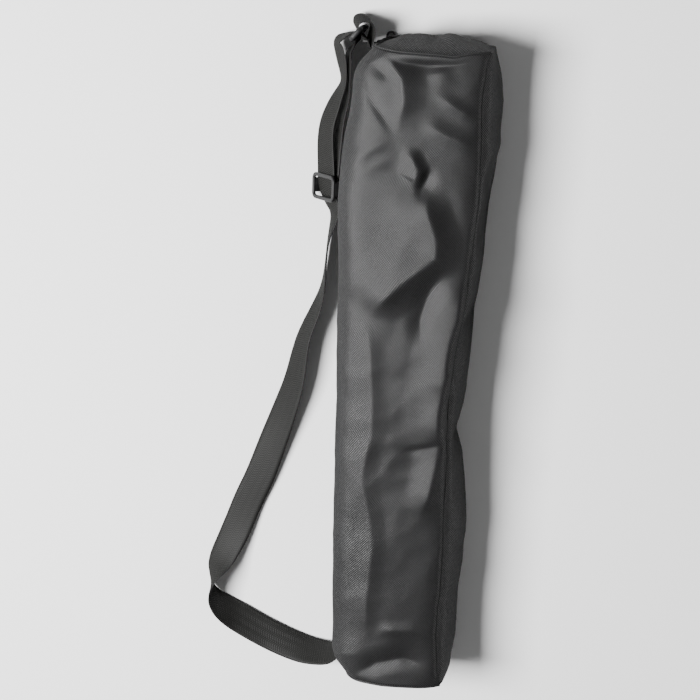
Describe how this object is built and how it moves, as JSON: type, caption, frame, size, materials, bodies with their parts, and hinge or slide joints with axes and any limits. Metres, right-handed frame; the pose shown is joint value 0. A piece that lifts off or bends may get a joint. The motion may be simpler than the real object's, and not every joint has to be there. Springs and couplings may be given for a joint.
{
  "type": "music stand carry bag",
  "caption": "Long soft zipped carry bag for a folded music stand, with a webbing shoulder strap on a ring and slide.",
  "frame": {"origin": "middle of the flat back face, on the surface the bag lies on", "axes": "+Y along the bag from its bottom end to its top end where the ring and zip pull are; +Z from the back face out through the front face; +X towards the seamed gusset, away from the strap"},
  "size_m": [0.2308, 0.5367, 0.072],
  "materials": {
    "cloth": "coated polyester oxford weave, satin",
    "binding": "folded polyester tape, matt",
    "webbing": "woven polypropylene webbing, matt",
    "thread": "bonded thread",
    "zip_tape": "woven tape, matt",
    "zip_coil": "nylon coil",
    "zip_metal": "black enamel, semi-gloss",
    "moulded_plastic": "moulded, satin"
  },
  "bodies": {
    "bag": {"front_wrap_panel": "cloth", "back_panel": "cloth", "right_gusset": "cloth", "top_end_panel": "cloth", "bottom_end_panel": "cloth", "seam_binding_front": "binding", "seam_binding_back": "binding", "seam_binding_top": "binding", "seam_binding_bottom": "binding", "zip_tape_left": "zip_tape", "zip_tape_right": "zip_tape", "zip_teeth_left": "zip_coil", "zip_teeth_right": "zip_coil", "zip_top_stops": "zip_metal", "zip_bottom_stop": "zip_metal", "ring_tab": "webbing", "tab_bar_tack": "thread", "anchor_bar_tack": "thread", "shoulder_strap": "webbing", "strap_return": "webbing"},
    "slider": {"zip_slider": "zip_metal"},
    "pull": {"zip_pull": "zip_metal"},
    "ring": {"strap_ring": "moulded_plastic"},
    "adjuster": {"slide_adjuster": "moulded_plastic", "strap_end_tack": "thread"}
  },
  "joints": [
    {"name": "zip_slide", "type": "slide", "parent": "bag", "child": "slider", "axis": [0, -1, 0], "range_m": [0, 0.42]},
    {"name": "pull_swing", "type": "hinge", "parent": "slider", "child": "pull", "pos_m": [-0.03, 0.2359, 0.0014], "axis": [-1, 0, 0], "range_deg": [0, 170]},
    {"name": "ring_swing", "type": "hinge", "parent": "bag", "child": "ring", "pos_m": [-0.05289, 0.26615, 0.0185], "axis": [0, 0, 1], "range_deg": [-18, 18], "deforming": ["shoulder_strap"]},
    {"name": "adjuster_slide", "type": "slide", "parent": "bag", "child": "adjuster", "axis": [0, 1, 0], "range_m": [-0.004, 0.02], "deforming": ["strap_return"]}
  ]
}
